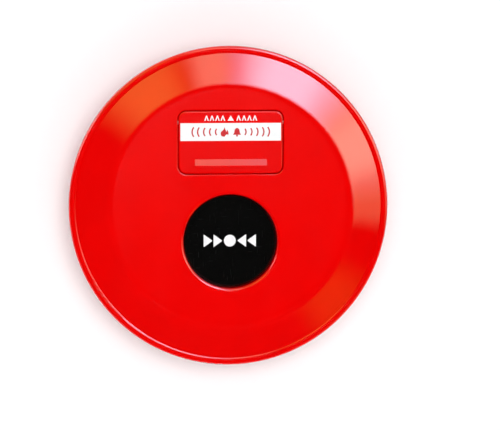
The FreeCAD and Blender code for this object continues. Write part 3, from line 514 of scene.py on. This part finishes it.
# ------------------------------------------------------------------ geometry nodes
class Geometry:
    """One geometry node tree with named inputs."""

    def __init__(self, name, **inputs):
        self.tree = bpy.data.node_groups.new(name, "GeometryNodeTree")
        self.tree.interface.new_socket("Geometry", in_out="OUTPUT", socket_type="NodeSocketGeometry")
        self.sockets = {}
        for key, default in inputs.items():
            kind = "NodeSocketInt" if isinstance(default, int) else "NodeSocketFloat"
            self.sockets[key] = self.tree.interface.new_socket(key, socket_type=kind)
            self.sockets[key].default_value = default
        self.start = self.tree.nodes.new("NodeGroupInput")

    def __getitem__(self, key):
        return self.start.outputs[key]

    def node(self, kind, settings=None, inputs=None, output=0):
        item = self.tree.nodes.new(kind)
        for name, setting in (settings or {}).items():
            setattr(item, name, setting)
        for key, value in (inputs or {}).items():
            socket = item.inputs[key] if isinstance(key, int) else Shader.enabled(item.inputs, key)
            if isinstance(value, bpy.types.NodeSocket):
                self.tree.links.new(value, socket)
            else:
                socket.default_value = value
        return item.outputs[output] if isinstance(output, int) else Shader.enabled(item.outputs, output)

    def maths(self, operation, first, second):
        return self.node("ShaderNodeMath", {"operation": operation}, {0: first, 1: second})

    def finish(self, geometry, material):
        real = self.node("GeometryNodeRealizeInstances", {}, {0: geometry})
        done = self.node("GeometryNodeSetMaterial", {}, {0: real, "Material": material})
        end = self.tree.nodes.new("NodeGroupOutput")
        self.tree.links.new(done, end.inputs[0])

    def mesh(self, name, **values):
        """The tree's result, with these input values, as a plain mesh."""
        holder = bpy.data.objects.new(f"{name}_holder", bpy.data.meshes.new(f"{name}_seed"))
        bpy.context.scene.collection.objects.link(holder)
        modifier = holder.modifiers.new(name, "NODES")
        modifier.node_group = self.tree
        for key, value in values.items():
            modifier[self.sockets[key].identifier] = value
        ready = holder.evaluated_get(bpy.context.evaluated_depsgraph_get())
        mesh = bpy.data.meshes.new_from_object(ready)
        mesh.name = name
        bpy.data.objects.remove(holder)
        return mesh


def coil_tree():
    """A compression coil along Y: its last turn at each end lies flat."""
    tree = Geometry("coil", Radius=0.01, Wire=0.001, Rise=0.01, Turns=3.0)
    spiral = tree.node("GeometryNodeCurveSpiral", {}, {
        "Resolution": 48, "Rotations": tree["Turns"], "Start Radius": tree["Radius"],
        "End Radius": tree["Radius"], "Height": tree["Rise"]})
    ends = []
    for height in (0.0, tree["Rise"]):
        ring = tree.node("GeometryNodeCurvePrimitiveCircle", {"mode": "RADIUS"},
                         {"Resolution": 64, "Radius": tree["Radius"]})
        place = tree.node("ShaderNodeCombineXYZ", {}, {"Z": height})
        ends.append(tree.node("GeometryNodeTransform", {}, {"Geometry": ring, "Translation": place}))
    path = tree.tree.nodes.new("GeometryNodeJoinGeometry")
    for curve in (spiral, *ends):
        tree.tree.links.new(curve, path.inputs[0])
    section = tree.node("GeometryNodeCurvePrimitiveCircle", {"mode": "RADIUS"}, {
        "Resolution": 12, "Radius": tree.maths("MULTIPLY", tree["Wire"], 0.5)})
    tube = tree.node("GeometryNodeCurveToMesh", {}, {
        "Curve": path.outputs[0], "Profile Curve": section, "Fill Caps": True})
    turned = tree.node("GeometryNodeTransform", {}, {
        "Geometry": tube, "Rotation": (math.radians(90), 0, 0)})
    smooth = tree.node("GeometryNodeSetShadeSmooth", {}, {"Geometry": turned, "Shade Smooth": True})
    tree.finish(smooth, MATERIALS["spring_steel"])
    return tree


def wave_tree():
    """A row of sound waves: arcs that grow to full height, along X in the XY plane."""
    sweep = 1.4
    tree = Geometry("waves", Count=3, Step=0.001, Tall=0.004, First=0.66, Growth=0.1,
                    Line=0.0003, Ink=0.0001)
    offset = tree.node("ShaderNodeCombineXYZ", {}, {"X": tree["Step"]})
    points = tree.node("GeometryNodeMeshLine", {"mode": "OFFSET", "count_mode": "TOTAL"},
                       {"Count": tree["Count"], "Offset": offset})
    arc = tree.node("GeometryNodeCurveArc", {"mode": "RADIUS"}, {
        "Resolution": 20, "Radius": 0.5 / math.sin(sweep / 2), "Sweep Angle": sweep,
        "Start Angle": -sweep / 2})
    index = tree.node("GeometryNodeInputIndex")
    part = tree.maths("ADD", tree["First"], tree.maths("MULTIPLY", index, tree["Growth"]))
    height = tree.maths("MULTIPLY", tree["Tall"], tree.maths("MINIMUM", part, 1.0))
    arcs = tree.node("GeometryNodeInstanceOnPoints", {}, {
        "Points": points, "Instance": arc, "Scale": height})
    real = tree.node("GeometryNodeRealizeInstances", {}, {0: arcs})
    section = tree.node("GeometryNodeCurvePrimitiveQuadrilateral", {}, {
        "Width": tree["Line"], "Height": tree["Ink"]})
    ribbon = tree.node("GeometryNodeCurveToMesh", {}, {
        "Curve": real, "Profile Curve": section, "Fill Caps": True})
    tree.finish(ribbon, MATERIALS["label_red"])
    return tree


def joined(name, meshes):
    """Several meshes as one."""
    work = bmesh.new()
    for mesh in meshes:
        work.from_mesh(mesh)
    bmesh.ops.recalc_face_normals(work, faces=work.faces)
    result = bpy.data.meshes.new(name)
    work.to_mesh(result)
    work.free()
    return result


# ------------------------------------------------------------------ operators
class Piece(bpy.types.Operator):
    """Base of the station's operators"""
    bl_options = {"REGISTER", "UNDO"}


class StationHousing(Piece):
    """Give the cover, back box and every inner part its finish"""
    bl_idname = "station.housing"
    bl_label = "Housing and inner parts"

    def execute(self, context):
        MATERIALS.update(make_materials())
        bodies = frame["record"]["behaviour"]["bodies"]
        for body, nodes in bodies.items():
            for node in nodes:
                if node != "button_spring":
                    skin(node, body)
        return {"FINISHED"}


class StationDiscMarks(Piece):
    """Print the arrowheads and the dot on the push disc"""
    bl_idname = "station.disc_marks"
    bl_label = "Marks on the disc"

    def execute(self, context):
        size = sizes()
        low, _ = corners("push_disc")
        middle = centre("push_disc")
        tall = size.disc_mark_height / 2
        pitch = (size.disc_mark / 2 - tall) / 2
        head = rounded_polygon([(0, 0), (0.9 * pitch, tall), (0.9 * pitch, -tall)], 0.15 * tall)
        outlines = [circle_points(middle.x, middle.z, 0.92 * tall)]
        for step in (0, 1):
            reach = tall + step * pitch + 0.1 * pitch
            outlines.append(moved(head, middle.x + reach, middle.z))
            outlines.append(moved([(-x, z) for x, z in head], middle.x - reach, middle.z))
        mesh = flat_prisms("disc_marks", outlines, -low.y, size.ink)
        piece = new_piece("disc_marks", mesh, "label_white", "button")
        return {"FINISHED"}


class StationFlapMarks(Piece):
    """Print the symbols on the white band and the small marks above it"""
    bl_idname = "station.flap_marks"
    bl_label = "Marks on the flap"

    def execute(self, context):
        size = sizes()
        low, _ = corners("flap_label")
        middle = centre("flap_label")
        symbols = joined("band_marks", [self.pictures(size, -low.y, middle),
                                        *self.waves(size, -low.y, middle)])
        band = new_piece("band_marks", symbols, "label_red", "flap_door")
        top = flat_prisms("top_marks", self.top_row(size, middle), -CAD_FACE, size.ink)
        marks = new_piece("top_marks", top, "label_white", "flap_door")
        return {"FINISHED"}

    @staticmethod
    def pictures(size, height, middle):
        """A flame and a bell side by side."""
        tall = size.band_mark_height
        flame = bezier_outline([
            ((0.32, 0.0), (0.0, -0.5), (-0.32, -0.5)), ((-0.42, -0.38), (-0.4, -0.1), (-0.38, 0.15)),
            ((-0.02, 0.12), (-0.02, 0.5), (0.1, 0.3)), ((0.1, 0.12), (0.2, 0.02), (0.27, 0.1)),
            ((0.26, 0.2), (0.27, 0.26), (0.42, 0.05)), ((0.45, -0.2), (0.4, -0.3), (0.34, -0.42))])
        bell = bezier_outline([
            ((-0.2, -0.3), (-0.42, -0.3), (-0.42, -0.22)), ((-0.3, -0.2), (-0.28, 0.0), (-0.28, 0.25)),
            ((-0.16, 0.4), (0.0, 0.42), (0.16, 0.4)), ((0.28, 0.25), (0.28, 0.0), (0.3, -0.2)),
            ((0.42, -0.22), (0.42, -0.3), (0.2, -0.3))])
        clapper = circle_points(0, -0.4, 0.1, 24)
        gap = 0.66 * tall
        outlines = [moved(flame, middle.x - gap, middle.z, tall)]
        outlines += [moved(part, middle.x + gap, middle.z, tall) for part in (bell, clapper)]
        return flat_prisms("pictures", outlines, height, size.ink)

    @staticmethod
    def waves(size, height, middle):
        """Sound waves on both sides of the pictures."""
        tall = size.band_mark_height
        near = 1.5 * tall
        step = (size.band_mark / 2 - near) / size.waves
        line = wave_tree().mesh("waves", Count=size.waves, Step=step, Tall=tall,
                                Line=0.14 * tall, Ink=size.ink)
        face_front = Matrix.Rotation(math.radians(90), 4, "X")
        meshes = []
        for side in (1, -1):
            copy = line.copy()
            place = Matrix.Translation((middle.x + side * (near - 0.4 * tall),
                                        -height - size.ink / 2, middle.z))
            copy.transform(place @ Matrix.Scale(side, 4, (1, 0, 0)) @ face_front)
            meshes.append(copy)
        return meshes

    @staticmethod
    def top_row(size, middle):
        """A small triangle between rows of chevrons."""
        half, tall = size.top_mark / 2, size.top_mark_height
        z = middle.z + size.top_mark_rise
        triangle = [(-0.6 * tall, -0.5 * tall), (0.6 * tall, -0.5 * tall), (0, 0.5 * tall)]
        row = [moved(triangle, middle.x, z)]
        width = (half - 1.0 * tall) / size.chevrons
        for side in (1, -1):
            for index in range(size.chevrons):
                place = middle.x + side * (1.0 * tall + (index + 0.5) * width)
                row.append(moved(chevron(0.86 * width, tall, 0.24 * tall), place, z))
        return row


class StationSpring(Piece):
    """Wind the button spring between the bracket and the carrier"""
    bl_idname = "station.spring"
    bl_label = "Button spring"

    def execute(self, context):
        size = sizes()
        low, high = corners("button_spring")
        middle = centre("button_spring")
        rise = high.y - low.y - size.wire
        mesh = coil_tree().mesh("button_coil", Radius=size.spring_radius, Wire=size.wire,
                                Rise=rise, Turns=SPRING_TURNS)
        mesh.transform(Matrix.Translation((middle.x, high.y - size.wire / 2, middle.z)))
        piece = new_piece("button_coil", mesh, "spring_steel", "housing")
        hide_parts("button_spring")
        1 - joint_range("button_press") / (high.y - low.y)
        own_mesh(piece)
        return {"FINISHED"}


class StationStage(Piece):
    """Set up the wall, floor, lights and camera"""
    bl_idname = "station.stage"
    bl_label = "Studio"

    def execute(self, context):
        wall, floor = self.wall(), self.floor()
        floor.visible_glossy = False
        self.world(context.scene)
        for name, aim, spread, radiance, tint in SOFTBOXES:
            box = self.light(name, aim, spread, radiance, tint)
            box.visible_glossy = False
        for name, aim, spread, radiance, tint in REFLECTORS:
            card = self.light(name, aim, spread, radiance, tint)
            card.visible_diffuse = False
        self.camera(context.scene)
        context.scene.view_settings.view_transform = "Standard"
        return {"FINISHED"}

    def wall(self):
        """A round wall, cut out behind the station so that light reaches its back."""
        hollow, rim = (
            [(x, WALL_GAP, z) for x, z in circle_points(0, 0, radius, WALL_SIDES)]
            for radius in (WALL_HOLLOW, WALL_REACH))
        turns = range(WALL_SIDES)
        following = [(turn + 1) % WALL_SIDES for turn in turns]
        faces = [(turn, WALL_SIDES + turn, WALL_SIDES + after, after)
                 for turn, after in zip(turns, following)]
        return self.surface("wall", hollow + rim, faces)

    def floor(self):
        half = FLOOR_WIDTH / 2
        points = [(x * half, y * half, -FLOOR_DROP)
                  for x, y in ((-1, -1), (1, -1), (1, 1), (-1, 1))]
        return self.surface("floor", points, [(0, 1, 2, 3)])

    @staticmethod
    def surface(name, points, faces):
        mesh = bpy.data.meshes.new(name)
        mesh.from_pydata(points, [], faces)
        mesh.materials.append(painted_wall(name, colours().wall))
        item = bpy.data.objects.new(name, mesh)
        bpy.context.scene.collection.objects.link(item)
        return item

    @staticmethod
    def world(scene):
        scene.world = bpy.data.worlds.new("studio")
        scene.world.use_nodes = True
        back = scene.world.node_tree.nodes["Background"]
        back.inputs["Color"].default_value = (1, 1, 1, 1)
        back.inputs["Strength"].default_value = WORLD_STRENGTH
        scene.world.cycles_visibility.glossy = False

    def light(self, name, aim, spread, radiance, tint):
        """A softbox with faded edges: an angle round the front, a tilt off it and a distance."""
        angle, tilt, distance = math.radians(aim[0]), math.radians(aim[1]), aim[2]
        around = Vector((-math.sin(angle), 0, math.cos(angle)))
        outward = Vector((math.sin(tilt) * math.cos(angle), -math.cos(tilt),
                          math.sin(tilt) * math.sin(angle)))
        data = bpy.data.lights.new(name, "AREA")
        data.shape = "RECTANGLE"
        data.size, data.size_y = spread
        data.energy = radiance * math.pi * spread[0] * spread[1]
        data.color = tint
        self.fade(data)
        item = bpy.data.objects.new(name, data)
        turn = Matrix((around, outward.cross(around), outward)).transposed()
        item.matrix_world = Matrix.Translation(outward * distance) @ turn.to_4x4()
        bpy.context.scene.collection.objects.link(item)
        return item

    @staticmethod
    def fade(data):
        """Let the light fall off smoothly from its middle to all four edges."""
        data.use_nodes = True
        nodes, links = data.node_tree.nodes, data.node_tree.links
        place = nodes.new("ShaderNodeNewGeometry")
        parts = nodes.new("ShaderNodeSeparateXYZ")
        links.new(place.outputs["Parametric"], parts.inputs[0])
        strength = nodes.new("ShaderNodeMath")
        strength.operation = "MULTIPLY"
        for index in (0, 1):
            edge = nodes.new("ShaderNodeMath")
            edge.operation = "PINGPONG"
            edge.inputs[1].default_value = 0.5
            links.new(parts.outputs[index], edge.inputs[0])
            ramp = nodes.new("ShaderNodeMapRange")
            ramp.interpolation_type = "SMOOTHSTEP"
            ramp.inputs["From Max"].default_value = LIGHT_FADE
            links.new(edge.outputs[0], ramp.inputs["Value"])
            links.new(ramp.outputs[0], strength.inputs[index])
        links.new(strength.outputs[0], nodes["Emission"].inputs["Strength"])

    @staticmethod
    def camera(scene):
        data = bpy.data.cameras.new("camera")
        data.sensor_width = 36.0
        data.lens = CAMERA_LENS
        camera = bpy.data.objects.new("camera", data)
        azimuth, elevation = (math.radians(angle) for angle in CAMERA_ANGLES)
        back = Vector((math.sin(azimuth) * math.cos(elevation),
                       -math.cos(azimuth) * math.cos(elevation), math.sin(elevation)))
        camera.location = Vector((0, CAD_FACE, 0)) + back * CAMERA_DISTANCE
        camera.rotation_euler = (-back).to_track_quat("-Z", "Y").to_euler()
        data.shift_x, data.shift_y = CAMERA_SHIFT
        scene.collection.objects.link(camera)
        scene.camera = camera


OPERATORS = (StationHousing, StationDiscMarks, StationFlapMarks, StationSpring, StationStage)


class StationPanel(bpy.types.Panel):
    """Sizes, colours and pieces of the station"""
    bl_idname = "VIEW3D_PT_station"
    bl_label = "Fire alarm station"
    bl_space_type = "VIEW_3D"
    bl_region_type = "UI"
    bl_category = "Station"

    def draw(self, context):
        for group in (context.scene.station_sizes, context.scene.station_colours):
            for name in group.__annotations__:
                self.layout.prop(group, name)
        for operator in OPERATORS:
            self.layout.operator(operator.bl_idname)


CLASSES = (StationSizes, StationColours, *OPERATORS, StationPanel)


def register():
    for item in CLASSES:
        bpy.utils.register_class(item)
    bpy.types.Scene.station_sizes = PointerProperty(type=StationSizes)
    bpy.types.Scene.station_colours = PointerProperty(type=StationColours)


def unregister():
    del bpy.types.Scene.station_sizes
    del bpy.types.Scene.station_colours
    for item in reversed(CLASSES):
        bpy.utils.unregister_class(item)


def main():
    register()
    bpy.ops.station.housing()
    bpy.ops.station.disc_marks()
    bpy.ops.station.flap_marks()
    bpy.ops.station.spring()
    bpy.ops.station.stage()


if __name__ == "__main__":
    main()
